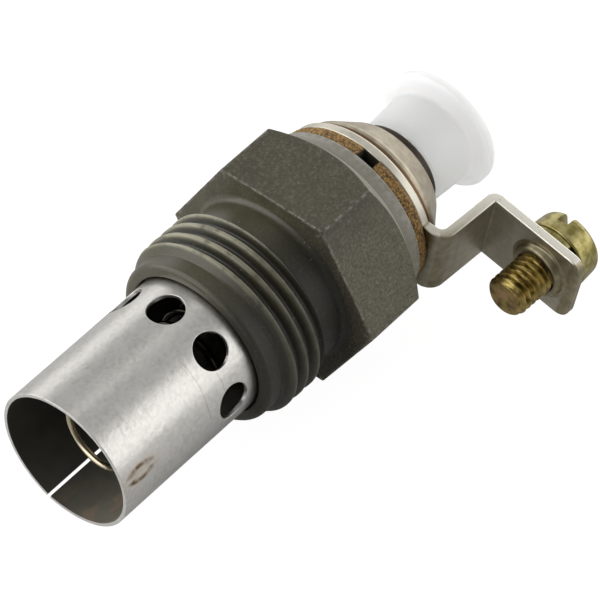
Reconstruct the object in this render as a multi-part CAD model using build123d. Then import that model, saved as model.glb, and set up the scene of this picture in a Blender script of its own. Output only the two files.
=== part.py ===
from build123d import *
from math import acos, ceil, cos, degrees, radians, sin, sqrt, tan
import os

# Flame heater plug for an engine's intake manifold, in millimetres.
# The plug lies on one flat of its hexagon, as on a bench. +X runs along its axis from the open
# shield to the fuel inlet, +Z is up, and the origin is on the axis in the plane of the hexagon's
# near face, which seats on the manifold.

os.makedirs("parts", exist_ok=True)

# General clearances, and values that only help the modelling
RUNNING_GAP = 0.04          # radial, between a turned piece and the hole it passes
FLANGE_GAP = 0.6            # radial, kept as air insulation round the inlet's head
OVERRUN = 1.0               # of a cut past the face that it opens
PICK_TOLERANCE = 0.01       # when an edge is picked by its place or its radius
FILLET_SHARE = 0.45         # most of a wall that the fillet of one of its two edges takes

# Body: hexagon, boss, relief neck and manifold thread
hex_across_flats = 24.0
hex_corner_length = 7.65
hex_chamfer_angle = 52.0    # of the cone, from the plug's axis
boss_radius = 10.6
boss_end = 11.85
boss_edge_chamfer = 0.25
thread_radius = 22.225 / 2  # 7/8 inch, 14 threads to the inch
thread_pitch = 25.4 / 14
thread_turns = 3.4
thread_depth = 0.95
thread_crest = 0.34         # width of the crest
thread_flank_angle = 30.0
thread_first_crest = 1.62   # from the thread's start to a crest, above the axis
thread_lead_in = 0.9
relief_step = 0.21          # radial, below the thread's root
relief_length = 4.3
relief_fillet = 1.2
least_seat_land = 0.1       # flat kept between the relief's fillet and the hexagon's sides
relief_slope = 0.8
nose_length = 2.0
nose_step = 0.06            # radial, below the thread's root
nose_rounding = 0.8
nose_recess_depth = 1.0
nose_recess_gap = 0.55
shield_socket_depth = 2.7
chamber_top_wall = 10.95    # thickness of the wall that closes the chamber, up to the boss's end

# Flame shield: a rolled sheet with a seam left open
shield_radius = 8.5
sheet_thickness = 0.45
shield_exposed = 20.2       # from the body's nose to the open mouth
seam_width = 0.42
seam_angle = -71.0          # about +X, from +Y
air_hole_count = 8
air_hole_diameter = 4.2
air_hole_from_nose = 3.5
air_hole_phase = -4.5

# Fuel inlet: threaded shank with a head inside the chamber
shank_radius = 11.11 / 2
neck_exposed = 1.7          # of the shank, past the clamping collar
neck_chamfer = 0.3
inlet_head_height = 2.0
port_radius = 3.5
port_depth = 8.0
port_chamfer = 0.7
drill_point_angle = 118.0
fuel_way_radius = 1.0
spigot_radius = 2.4
spigot_length = 3.4

# Stack on the shank, outside the body
fibre_thickness = 1.6
fibre_radius = 10.3
notch_angle = 105.0
notch_width = 2.1
notch_depth = 1.7
ring_radius = 10.0
collar_radius = 9.3
collar_land = 1.2
collar_height = 4.5
collar_tip_radius = 6.9
collar_edge_fillet = 0.4

# Insulation inside the body
bush_wall = 0.9
inner_washer_thickness = 1.0

# Terminal strap
strap_thickness = 1.15
strap_width = 9.7
strap_angle = 190.2         # about +X, from +Y
riser_distance = 11.4       # from the axis to the middle of the riser's thickness
riser_lean = 2.9            # away from the axial direction
ring_bend_radius = 1.9      # all bends to the middle of the thickness
leaf_bend_radius = 0.9
leaf_height = 22.4          # of the leaf's middle, above the seat plane, at its bend
leaf_tilt = -1.8
leaf_end_margin = 4.8       # from the screw's centre to the free end
leaf_corner_radius = 1.7
tapped_boss_radius = 3.4
tapped_boss_height = 0.85
tapped_boss_taper = 0.6

# Terminal screw, M5 cheese head, and its spring washer
screw_reach = 19.5          # from the plug's axis
screw_radius = 2.5
screw_length = 8.2
screw_tip_chamfer = 0.45
head_radius = 4.25
head_height = 3.2
head_fillet = 0.5
slot_width = 1.3
slot_depth = 1.7
slot_angle = 35.0
spring_washer_radius = 4.0
spring_washer_thickness = 1.2
spring_washer_gap = 0.8
spring_washer_gap_angle = 250.0
spring_washer_gap_slant = 25.0

# Transit plug
plug_seat_radius = 5.4
plug_barrel_length = 5.7
plug_barrel_end_radius = 5.75
plug_nose_length = 5.0
plug_nose_taper = 0.35
plug_wall = 0.9
plug_brim_radius = 7.35
plug_brim_thickness = 2.3
plug_brim_flare = 1.3
plug_brim_fillet = 0.5

# Ball valve: a tube that grows as it heats, with a rod that holds the ball on its seat
tube_radius = 2.55
tube_socket_wall = 0.75
tube_socket_margin = 1.0    # of the socket past the spigot's end
tube_bore_radius = 1.7
tube_length = 20.0
tube_end_wall = 2.6
outlet_radius = 0.5
outlet_from_end = 4.2
ball_radius = 1.25
stem_radius = 0.6
anchor_radius = 1.2
anchor_slot_width = 0.5
anchor_slot_depth = 0.7

# Heater coil: one wire, wound on a sleeve and carried on, bare, into the shield
wire_radius = 0.42
wire_knuckle_radius = 0.44  # where the wire turns sharply
coil_radius = 4.2           # of the wire's centre line
coil_pitch = 2.5
coil_turns = 8
coil_from_mouth = 4.2       # of the last turn's centre line
coil_weld_angle = 165.0
coil_weld_from_mouth = 2.75
lead_socket_depth = 0.8
sleeve_length = 12.5

# Radii and places along the axis that follow from the sizes above
thread_root = thread_radius - thread_depth
relief_radius = thread_root - relief_step
nose_radius = thread_root - nose_step
thread_start = -relief_length
thread_end = thread_start - thread_turns * thread_pitch
nose_end = thread_end - nose_length
chamber_top = boss_end - chamber_top_wall
shield_mouth = nose_end - shield_exposed
shield_root = nose_end + shield_socket_depth
fibre_end = boss_end + fibre_thickness
ring_end = fibre_end + strap_thickness
collar_end = ring_end + collar_height
leaf_reach = screw_reach + leaf_end_margin
neck_end = collar_end + neck_exposed
inner_washer_bottom = chamber_top - inner_washer_thickness
inlet_head_bottom = inner_washer_bottom - inlet_head_height
spigot_end = inlet_head_bottom - spigot_length
tube_shoulder = spigot_end - tube_socket_margin
tube_end = spigot_end - tube_length
coil_last = shield_mouth + coil_from_mouth
coil_first = coil_last + coil_turns * coil_pitch
chamber_radius = shield_radius - sheet_thickness
clear_shank_radius = shank_radius + RUNNING_GAP
bush_radius = clear_shank_radius + bush_wall
coil_end_angle = coil_weld_angle + degrees(acos(coil_radius / chamber_radius))

AXIS = Axis.X
AXIAL = Vector(1, 0, 0)


def turned(*corners):
    """Solid of revolution about the plug's axis; each corner is (along the axis, radius)."""
    return revolve(make_face(Polyline(*corners, close=True)), AXIS)


def tube(start, end, outer, inner):
    """Straight tube about the plug's axis."""
    return turned((start, inner), (start, outer), (end, outer), (end, inner))


def radial(angle):
    """Unit vector square to the axis, at an angle about +X from +Y."""
    return Vector(0, cos(radians(angle)), sin(radians(angle)))


def radial_plane(x, angle):
    """Plane whose normal points outwards at an angle and whose x runs along the axis."""
    return Plane(origin=(x, 0, 0), x_dir=AXIAL, z_dir=radial(angle))


def wire_between(start, end):
    """Straight length of the coil's wire between two points."""
    way = end - start
    return Plane(origin=start, z_dir=way) * Pos(0, 0, way.length / 2) * Cylinder(
        wire_radius, way.length
    )


def save(name, solid):
    """Write one piece to its own file."""
    solid.label = name
    export_step(solid, f"parts/{name}.step")
    return solid


def thread_groove():
    """Right-handed groove of the manifold thread, carried on past both of its ends."""
    flank = tan(radians(thread_flank_angle))
    half_mouth = (thread_pitch - thread_crest) / 2
    half_root = half_mouth - thread_depth * flank
    proud = thread_crest / 4 / flank
    half_top = half_mouth + thread_crest / 4
    turns = ceil(thread_turns) + 3
    start = thread_start - thread_first_crest + (2.5 - turns) * thread_pitch
    route = Helix(
        thread_pitch, turns * thread_pitch, thread_radius, center=(start, 0, 0), direction=AXIAL
    )
    profile = Plane(origin=route @ 0, x_dir=radial(90), z_dir=route % 0) * Polygon(
        (proud, half_top), (-thread_depth, half_root), (-thread_depth, -half_root),
        (proud, -half_top), align=None
    )
    return sweep(profile, path=route, is_frenet=True)


def body_outline():
    """Everything turned on the outside of the body, from the nose to the boss."""
    root = thread_start + relief_slope
    turned_side = turned(
        (nose_end, 0),
        (nose_end, nose_radius),
        (thread_end, nose_radius),
        (thread_end, thread_radius - thread_lead_in),
        (thread_end + thread_lead_in, thread_radius),
        (thread_start, thread_radius),
        (root, relief_radius),
        (0, relief_radius),
        (0, 0),
    )
    nose_edge = turned_side.edges().filter_by(GeomType.CIRCLE).sort_by(AXIS)[:1]
    blank = tube(nose_end - OVERRUN, 0, thread_radius, 0) - thread_groove()
    return blank & fillet(nose_edge, nose_rounding)


def body_hexagon():
    """Hexagon with its far corners turned off by a cone, and the boss beyond it."""
    corner_radius = hex_across_flats / sqrt(3)
    cone_length = (corner_radius - boss_radius) / tan(radians(hex_chamfer_angle))
    cone_end = hex_corner_length + cone_length
    prism = extrude(
        Plane.YZ * RegularPolygon(hex_across_flats / 2, 6, major_radius=False), amount=cone_end
    )
    cone = turned(
        (0, 0), (0, corner_radius + OVERRUN), (hex_corner_length, corner_radius + OVERRUN),
        (hex_corner_length, corner_radius), (cone_end, boss_radius), (cone_end, 0),
    )
    boss = turned(
        (cone_end, 0), (cone_end, boss_radius), (boss_end - boss_edge_chamfer, boss_radius),
        (boss_end, boss_radius - boss_edge_chamfer), (boss_end, 0),
    )
    return (prism & cone) + boss


def make_body():
    """Steel body: hexagon, thread, heater chamber, shield socket and the hole for the bush."""
    solid = body_hexagon() + body_outline()
    seat_root = solid.edges().filter_by(GeomType.CIRCLE).filter_by_position(
        AXIS, -PICK_TOLERANCE, PICK_TOLERANCE
    )
    seat_land = hex_across_flats / 2 - relief_radius - least_seat_land
    solid = fillet(seat_root, min(relief_fillet, seat_land))
    recess_radius = shield_radius + nose_recess_gap
    bore = turned(
        (nose_end - OVERRUN, 0), (nose_end - OVERRUN, recess_radius),
        (nose_end + nose_recess_depth, recess_radius),
        (nose_end + nose_recess_depth, shield_radius), (shield_root, shield_radius),
        (shield_root, chamber_radius), (chamber_top, chamber_radius),
        (chamber_top, bush_radius), (boss_end + OVERRUN, bush_radius), (boss_end + OVERRUN, 0),
    )
    return solid - bore


def make_flame_shield():
    """Rolled sheet tube with an open seam and a ring of air holes near its root."""
    sheet = tube(shield_mouth, shield_root, shield_radius, chamber_radius)
    length = shield_root - shield_mouth
    middle = (shield_root + shield_mouth) / 2
    seam = radial_plane(middle, seam_angle) * Pos(0, 0, shield_radius) * Box(
        length + 2 * OVERRUN, seam_width, 3 * sheet_thickness
    )
    hole_x = nose_end - air_hole_from_nose
    holes = [
        radial_plane(hole_x, air_hole_phase + 360 / air_hole_count * turn)
        * Pos(0, 0, shield_radius) * Cylinder(air_hole_diameter / 2, 4 * sheet_thickness)
        for turn in range(air_hole_count)
    ]
    return sheet - seam - holes


def make_fibre_washer():
    """Outer insulating washer, with one notch broken through its rim."""
    washer = tube(boss_end, fibre_end, fibre_radius, clear_shank_radius)
    middle = (boss_end + fibre_end) / 2
    notch = radial_plane(middle, notch_angle) * Pos(0, 0, fibre_radius) * Box(
        fibre_thickness + OVERRUN, notch_width, 2 * notch_depth
    )
    return washer - notch


def make_insulating_bush():
    """Tube that keeps the live shank off the body."""
    return tube(chamber_top, boss_end, bush_radius - RUNNING_GAP, clear_shank_radius)


def make_inner_washer():
    """Insulating washer between the inlet's head and the chamber's top."""
    return tube(
        inner_washer_bottom, chamber_top, chamber_radius - RUNNING_GAP, clear_shank_radius
    )


def make_clamp_collar():
    """Round conical nut that clamps the strap and the washers."""
    collar = turned(
        (ring_end, clear_shank_radius), (ring_end, collar_radius),
        (ring_end + collar_land, collar_radius), (collar_end, collar_tip_radius),
        (collar_end, clear_shank_radius),
    )
    rims = collar.edges().filter_by(
        lambda edge: edge.geom_type == GeomType.CIRCLE
        and edge.center().X > ring_end + PICK_TOLERANCE
        and edge.radius > collar_tip_radius - PICK_TOLERANCE
    )
    return fillet(rims, collar_edge_fillet)


def make_fuel_inlet():
    """Inlet: threaded shank, head in the chamber, port, fuel way and the ball's seat."""
    head_radius_inside = chamber_radius - FLANGE_GAP
    solid = turned(
        (spigot_end, 0), (spigot_end, spigot_radius), (inlet_head_bottom, spigot_radius),
        (inlet_head_bottom, head_radius_inside), (inner_washer_bottom, head_radius_inside),
        (inner_washer_bottom, shank_radius), (neck_end - neck_chamfer, shank_radius),
        (neck_end, shank_radius - neck_chamfer), (neck_end, 0),
    )
    drill_depth = (port_radius - fuel_way_radius) / tan(radians(drill_point_angle / 2))
    port_floor = neck_end - port_depth
    port = turned(
        (spigot_end - OVERRUN, 0), (spigot_end - OVERRUN, fuel_way_radius),
        (port_floor - drill_depth, fuel_way_radius), (port_floor, port_radius),
        (neck_end - port_chamfer, port_radius), (neck_end, port_radius + port_chamfer),
        (neck_end + OVERRUN, port_radius + port_chamfer), (neck_end + OVERRUN, 0),
    )
    lead_socket = Plane(
        origin=AXIAL * inlet_head_bottom + radial(coil_end_angle) * coil_radius, z_dir=AXIAL
    ) * Cylinder(wire_radius + RUNNING_GAP, 2 * lead_socket_depth)
    return solid - port - lead_socket


def make_valve_tube():
    """Valve tube: pushed on the spigot, bored for the ball and the stem, with cross outlets."""
    socket_radius = spigot_radius + tube_socket_wall
    solid = turned(
        (tube_end, 0), (tube_end, tube_radius), (tube_shoulder, tube_radius),
        (tube_shoulder, socket_radius), (inlet_head_bottom, socket_radius),
        (inlet_head_bottom, 0),
    )
    bore = turned(
        (tube_end + tube_end_wall, 0), (tube_end + tube_end_wall, tube_bore_radius),
        (spigot_end, tube_bore_radius), (spigot_end, spigot_radius),
        (inlet_head_bottom + OVERRUN, spigot_radius), (inlet_head_bottom + OVERRUN, 0),
    )
    anchor_hole = turned(
        (tube_end - OVERRUN, 0), (tube_end - OVERRUN, anchor_radius),
        (tube_end + tube_end_wall + OVERRUN, anchor_radius),
        (tube_end + tube_end_wall + OVERRUN, 0),
    )
    outlets = [
        radial_plane(tube_end + outlet_from_end, angle)
        * Cylinder(outlet_radius, 2 * tube_radius + OVERRUN)
        for angle in (0, 90)
    ]
    return solid - bore - anchor_hole - outlets


def ball_centre():
    """Where the ball's middle lies when the ball closes the fuel way."""
    return spigot_end - sqrt(ball_radius**2 - fuel_way_radius**2)


def make_valve_ball():
    """Ball that closes the fuel way when the plug is cold."""
    return Pos(ball_centre(), 0, 0) * Sphere(ball_radius)


def make_valve_stem():
    """Rod that holds the ball up, with its slotted end screwed in the tube."""
    top = ball_centre() - ball_radius
    thread_top = tube_end + tube_end_wall
    rod = turned(
        (tube_end, 0), (tube_end, anchor_radius), (thread_top, anchor_radius),
        (thread_top, stem_radius), (top, stem_radius), (top, 0),
    )
    slot = Pos(tube_end, 0, 0) * Box(2 * anchor_slot_depth, 3 * anchor_radius, anchor_slot_width)
    return rod - slot


def make_heater_sleeve():
    """Ceramic sleeve that carries the coil's upper turns round the valve tube."""
    top = tube_shoulder - RUNNING_GAP
    return tube(
        top - sleeve_length, top, coil_radius - wire_radius - RUNNING_GAP, tube_radius + RUNNING_GAP
    )


def coil_point(half_turns):
    """Point on the wire's centre line, counted in half turns up from the coil's mouth end."""
    return AXIAL * (coil_last + coil_pitch / 2 * half_turns) + radial(
        coil_end_angle + 180 * half_turns
    ) * coil_radius


def coil_half_turn(index):
    """Half a turn of wire as a tilted half ring, which runs smoothly into the next one."""
    start = coil_point(index)
    end = coil_point(index + 1)
    onward = radial(coil_end_angle + 180 * index + 90)
    section = Plane(origin=start, z_dir=onward) * Circle(wire_radius)
    return revolve(section, Axis((start + end) / 2, onward.cross(end - start)), 180)


def make_heater_coil():
    """One wire: straight lead from the inlet's head, coil, and a tail welded to the shield."""
    half_turns = 2 * coil_turns
    coil = coil_half_turn(0)
    for index in range(1, half_turns):
        coil = coil + coil_half_turn(index)
    top = coil_point(half_turns)
    lead = wire_between(
        top, radial(coil_end_angle) * coil_radius + AXIAL * (inlet_head_bottom + lead_socket_depth)
    )
    weld = AXIAL * (shield_mouth + coil_weld_from_mouth) + radial(coil_weld_angle) * shield_radius
    tail = wire_between(coil_point(0), weld) & tube(
        shield_mouth, shield_root, chamber_radius, tube_radius
    )
    coil = coil + Pos(*top) * Sphere(wire_knuckle_radius) + lead
    return coil + Pos(*coil_point(0)) * Sphere(wire_knuckle_radius) + tail


def strap_plane():
    """Plane of the strap's side view: x outwards along the tab, y along the plug's axis."""
    side = Vector(0, sin(radians(strap_angle)), -cos(radians(strap_angle)))
    return Plane(origin=(0, 0, 0), x_dir=radial(strap_angle), z_dir=side)


def leaf_point(reach):
    """Point of the leaf's middle surface, in the side view, at a distance from the axis."""
    return Vector(reach, leaf_height + (reach - riser_distance) * tan(radians(leaf_tilt)))


def leaf_plane(reach):
    """Plane square to the leaf at a distance from the axis, its normal towards the cap side."""
    view = strap_plane()
    point = leaf_point(reach)
    along = view.x_dir * cos(radians(leaf_tilt)) + AXIAL * sin(radians(leaf_tilt))
    return Plane(
        origin=view.x_dir * point.X + AXIAL * point.Y, x_dir=along, z_dir=view.z_dir.cross(along)
    )


def make_terminal_strap():
    """Strap: ring under the collar, bent tab, and a leaf with a formed, tapped boss."""
    ring = tube(fibre_end, ring_end, ring_radius, clear_shank_radius)
    ring_middle = (fibre_end + ring_end) / 2
    lean = tan(radians(riser_lean))
    half_rise = (leaf_height - ring_middle) / 2
    low = (riser_distance - half_rise * lean, ring_middle)
    high_reach = riser_distance + half_rise * lean
    route = FilletPolyline(
        ((ring_radius + clear_shank_radius) / 2, ring_middle), low,
        (high_reach, leaf_point(high_reach).Y), tuple(leaf_point(leaf_reach))[:2],
        radius=[ring_bend_radius, leaf_bend_radius],
    )
    side_view = strap_plane() * trace(route, strap_thickness)
    tab = extrude(side_view, amount=strap_width / 2, both=True)
    across_leaf = leaf_plane(leaf_reach)
    free_corners = tab.edges().filter_by(Axis(across_leaf.origin, across_leaf.z_dir))
    tab = fillet(
        free_corners.sort_by(lambda edge: edge.center().dot(strap_plane().x_dir))[-2:],
        leaf_corner_radius,
    )
    boss = leaf_plane(screw_reach) * Pos(
        0, 0, -strap_thickness / 2 - tapped_boss_height / 2
    ) * Cone(
        tapped_boss_radius - tapped_boss_taper, tapped_boss_radius, tapped_boss_height
    )
    hole = leaf_plane(screw_reach) * Cylinder(
        screw_radius + RUNNING_GAP, 2 * (strap_thickness + tapped_boss_height)
    )
    return ring + tab + boss - hole


def make_spring_washer():
    """Split washer under the screw's head."""
    middle = strap_thickness / 2 + spring_washer_thickness / 2
    inner_radius = screw_radius + 2 * RUNNING_GAP
    ring = Cylinder(spring_washer_radius, spring_washer_thickness) - Cylinder(
        inner_radius, spring_washer_thickness
    )
    split = Rot(0, 0, spring_washer_gap_angle) * Pos(
        (spring_washer_radius + inner_radius) / 2, 0, 0
    ) * Rot(spring_washer_gap_slant, 0, 0) * Box(
        spring_washer_radius - inner_radius + 2 * OVERRUN,
        spring_washer_gap,
        3 * spring_washer_thickness,
    )
    return leaf_plane(screw_reach) * Pos(0, 0, middle) * (ring - split)


def make_terminal_screw():
    """M5 cheese-head screw with a slot."""
    under_head = strap_thickness / 2 + spring_washer_thickness
    shank = Pos(0, 0, under_head - screw_length / 2) * Cylinder(screw_radius, screw_length)
    shank = chamfer(shank.edges().group_by(Axis.Z)[0], screw_tip_chamfer)
    head = Pos(0, 0, under_head + head_height / 2) * Cylinder(head_radius, head_height)
    head = fillet(head.edges().group_by(Axis.Z)[-1], head_fillet)
    slot = Pos(0, 0, under_head + head_height) * Rot(0, 0, slot_angle) * Box(
        3 * head_radius, slot_width, 2 * slot_depth
    )
    return leaf_plane(screw_reach) * (shank + (head - slot))


def make_transit_plug():
    """Soft plug: nose in the port, barrel against the neck, and a dished brim."""
    barrel_end = neck_end + plug_barrel_length
    brim_end = barrel_end + plug_brim_thickness
    nose_radius_top = port_radius - RUNNING_GAP
    nose_end_x = neck_end - plug_nose_length
    solid = turned(
        (nose_end_x, 0), (nose_end_x, nose_radius_top - plug_nose_taper),
        (neck_end, nose_radius_top), (neck_end, plug_seat_radius),
        (barrel_end, plug_barrel_end_radius),
        (barrel_end + plug_brim_flare, plug_brim_radius), (brim_end, plug_brim_radius),
        (brim_end, 0),
    )
    brim_edges = solid.edges().filter_by(
        lambda edge: edge.geom_type == GeomType.CIRCLE
        and edge.radius > plug_brim_radius - PICK_TOLERANCE
    )
    brim_wall = plug_brim_thickness - plug_brim_flare
    solid = fillet(brim_edges, min(plug_brim_fillet, FILLET_SHARE * brim_wall))
    hollow = turned(
        (nose_end_x + plug_wall, 0),
        (nose_end_x + plug_wall, nose_radius_top - plug_nose_taper - plug_wall),
        (neck_end, nose_radius_top - plug_wall), (neck_end + plug_wall, plug_seat_radius - plug_wall),
        (brim_end + OVERRUN, plug_barrel_end_radius - plug_wall), (brim_end + OVERRUN, 0),
    )
    return solid - hollow


PIECES = {
    "body": make_body,
    "flame_shield": make_flame_shield,
    "fibre_washer": make_fibre_washer,
    "insulating_bush": make_insulating_bush,
    "inner_washer": make_inner_washer,
    "terminal_strap": make_terminal_strap,
    "clamp_collar": make_clamp_collar,
    "fuel_inlet": make_fuel_inlet,
    "valve_tube": make_valve_tube,
    "valve_ball": make_valve_ball,
    "valve_stem": make_valve_stem,
    "heater_sleeve": make_heater_sleeve,
    "heater_coil": make_heater_coil,
    "spring_washer": make_spring_washer,
    "terminal_screw": make_terminal_screw,
    "transit_plug": make_transit_plug,
}

for piece_name, make_piece in PIECES.items():
    save(piece_name, make_piece())
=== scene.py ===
from math import acos, cos, degrees, pi, radians, sin, sqrt, tan

import bmesh
import bpy
import numpy as np
from mathutils import Matrix, Vector


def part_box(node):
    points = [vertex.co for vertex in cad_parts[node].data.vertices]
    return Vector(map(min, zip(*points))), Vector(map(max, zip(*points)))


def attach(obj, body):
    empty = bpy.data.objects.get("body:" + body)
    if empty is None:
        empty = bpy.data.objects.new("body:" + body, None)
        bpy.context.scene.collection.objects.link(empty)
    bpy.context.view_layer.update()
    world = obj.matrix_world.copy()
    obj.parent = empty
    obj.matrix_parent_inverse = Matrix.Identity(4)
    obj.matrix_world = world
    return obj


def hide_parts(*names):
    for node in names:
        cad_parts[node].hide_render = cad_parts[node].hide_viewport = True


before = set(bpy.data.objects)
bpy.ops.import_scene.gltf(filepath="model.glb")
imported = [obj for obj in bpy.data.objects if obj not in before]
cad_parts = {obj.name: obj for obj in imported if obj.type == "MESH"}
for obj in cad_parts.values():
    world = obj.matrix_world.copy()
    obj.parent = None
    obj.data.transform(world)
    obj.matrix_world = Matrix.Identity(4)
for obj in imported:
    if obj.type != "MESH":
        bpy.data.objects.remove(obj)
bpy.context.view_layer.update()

MM = 0.001


def span(node):
    """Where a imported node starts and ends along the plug's axis, and its radius, in millimetres."""
    low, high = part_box(node)
    return low.x / MM, high.x / MM, high.z / MM


# Places along the axis and radii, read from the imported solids, in millimetres
nose_end, boss_end, hex_apothem = span("body")
shield_mouth, shield_root, shield_radius = span("flame_shield")
fibre_start, fibre_end, fibre_radius = span("fibre_washer")
collar_start, collar_end, collar_radius = span("clamp_collar")
neck_end = span("fuel_inlet")[1]
brim_end, brim_radius = span("transit_plug")[1:]
hex_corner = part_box("body")[1].y / MM
ring_start = fibre_end
ring_end = collar_start

# Body, in millimetres
thread_radius = 22.225 / 2
thread_pitch = 25.4 / 14
thread_root = 10.16
thread_crest_half = 0.17
thread_flank = tan(radians(30))
thread_step = 0.095         # between the rings of its surface
thread_phase = -5.62 - thread_pitch * 150 / 360
thread_start = -4.3
thread_end = thread_start - 3.4 * thread_pitch
thread_middle = (thread_start + thread_end) / 2
lead_in = 0.9
shoulder_end = thread_start + 0.8
shoulder_slope = 1.45       # radius lost for each millimetre, from the thread to the relief
nose_radius = 10.1
relief_radius = 9.95
relief_fillet = 1.2
hex_corner_length = 7.65
hex_corner_rounding = 0.16
hex_edge = 0.09             # rounding of the near edge
boss_radius = 10.6
cone_slope = tan(radians(52))
cone_end = hex_corner_length + (hex_corner - boss_radius) / cone_slope
crease_half = 0.12          # half the width of the crease between a flat and the cone
crease_cut = 0.035
chamber_radius = 8.05
recess_radius = 8.6
recess_depth = 1.0
bush_radius = 6.49
chamber_top = 0.9

# Shield, in millimetres and degrees
sheet = 0.45
seam_angle = -71.0
seam_width = 0.42
seam_peak = 0.3
hole_count = 8
hole_radius = 2.1
hole_phase = -4.5
hole_place = nose_end - 3.5
degrees_per_mm = degrees(1 / shield_radius)

# Strap and screw, in millimetres and degrees
strap_angle = 190.2
strap_way = Vector((0, cos(radians(strap_angle)), sin(radians(strap_angle))))
plug_axis = Vector((1, 0, 0))
strap_thickness = 1.15
strap_width = 9.7
shank_hole = 5.6
ring_radius = 10.0
tab_root = 8.3
ring_middle = (ring_start + ring_end) / 2
ring_bend = 1.9
riser_distance = 11.4
riser_lean = 2.9
leaf_height = 22.4
leaf_tilt = -1.8
leaf_reach = 24.3
leaf_bend = 0.66
leaf_corner = 1.7
leaf_edge = 0.22
screw_reach = 19.5
screw_radius = 2.5
screw_pitch = 0.8
screw_root = 2.02
screw_length = 8.2
head_radius = 4.25
head_height = 3.2
washer_radius = 4.0
washer_bore = 2.62          # radius of its hole
washer_thickness = 1.2
washer_lift = 0.5
washer_gap_angle = 303.0
washer_half_gap = 7.0
washer_free_share = 0.26    # of the washer, bent up to its free end
under_head = strap_thickness / 2 + washer_thickness
slot_angle = 76.0
slot_width = 1.35
slot_depth = 1.7

# Fibre washer's notch, fuel inlet and heater coil, in millimetres and degrees
notch_angle = 105.0
notch_half = 5.8
spigot_end = -5.5
spigot_radius = 2.4
spigot_bore = 1.0
inlet_head_bottom = -2.1
inlet_head_top = -0.1
inlet_head_radius = 7.45
neck_radius = 5.55
port_radius = 3.5
wire_radius = 0.42
coil_radius = 4.2
coil_pitch = 2.5
coil_turns = 8
coil_last = shield_mouth + 4.2
coil_weld = shield_mouth + 2.75
coil_weld_angle = 165.0
weld_half_length = 1.7
weld_half_width = 0.78
hairlines = ((-19.5, 118, 179), (-16.75, 143, 162), (-26.9, 77, 81))  # along, from, to
coil_end_angle = coil_weld_angle + degrees(acos(coil_radius / chamber_radius))

# Camera of the photograph, in millimetres and degrees
camera_place = (-222.39, -195.99, 338.59)
camera_target = (0.45, -3.43, -1.64)
camera_roll = -0.618
camera_lens = 254.46

# Light: panels as (azimuth, elevation, angle that is fully lit, angle where it fades out, strength)
panels = (
    (-51, 2, 28, 46, 1.43),
    (72, -11, 24, 48, 1.2),
    (0, 56, 20, 75, 0.38),
    (18, 61, 3, 9, 0.7),
    (138, 20, 32, 54, 2.3),
    (10, 0, 20, 45, 1.7),
)
room_light = 0.12
room_mirrored = 0.05
floor_grey = 0.54
floor_sheen = 0.3
floor_mirrored = 0.1

body_sides = 540            # points in each of its rings


def around(count):
    """Angles about +X from +Y, in radians."""
    return np.arange(count) * 2 * pi / count


def add_object(name, points, faces, place=None):
    """Mesh object from points in millimetres, placed by a matrix in millimetres."""
    points = np.asarray(points, float)
    if place is not None:
        turn = np.array(place.to_3x3())
        points = points @ turn.T + np.array(place.translation)
    mesh = bpy.data.meshes.new(name)
    mesh.from_pydata((points * MM).tolist(), [], faces)
    mesh.validate()
    made = bpy.data.objects.new(name, mesh)
    bpy.context.scene.collection.objects.link(made)
    return made


def read(items, name, width=1, kind=float):
    """Rows of numbers kept by a mesh's points, corners or faces."""
    values = np.empty(len(items) * width, kind)
    items.foreach_get(name, values)
    return values.reshape(-1, width)


def weigh_normals(made):
    """Let large faces set the shading, so that flats stay flat beside their rounded edges."""
    mesh = made.data
    mesh.shade_smooth()
    pull = read(mesh.polygons, "normal", 3) * read(mesh.polygons, "area")
    sides = read(mesh.polygons, "loop_total", kind=int)[:, 0]
    vertex = read(mesh.loops, "vertex_index", kind=int)[:, 0]
    total = np.zeros((len(mesh.vertices), 3))
    np.add.at(total, vertex, np.repeat(pull, sides, axis=0))
    total /= np.maximum(np.linalg.norm(total, axis=1), 1e-20)[:, None]
    mesh.normals_split_custom_set_from_vertices(total.tolist())


def skin(name, rings, place=None, closed=True, caps=False):
    """Surface through rings of equal numbers of points; closed joins the last ring to the first."""
    rings = np.asarray(rings, float)
    ring_count, count = rings.shape[:2]
    faces = []
    for ring in range(ring_count if closed else ring_count - 1):
        above = (ring + 1) % ring_count
        for step in range(count):
            onward = (step + 1) % count
            faces.append(
                (ring * count + step, ring * count + onward,
                 above * count + onward, above * count + step)
            )
    if caps:
        faces.append(tuple(range(count))[::-1])
        faces.append(tuple((ring_count - 1) * count + step for step in range(count)))
    made = add_object(name, rings.reshape(-1, 3), faces, place)
    tidy_normals(made)
    return made


def tidy_normals(made):
    """Join points that coincide, turn all faces outwards and weigh the shading."""
    work = bmesh.new()
    work.from_mesh(made.data)
    bmesh.ops.remove_doubles(work, verts=work.verts, dist=1e-7)
    bmesh.ops.recalc_face_normals(work, faces=work.faces)
    work.to_mesh(made.data)
    work.free()
    weigh_normals(made)


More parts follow.
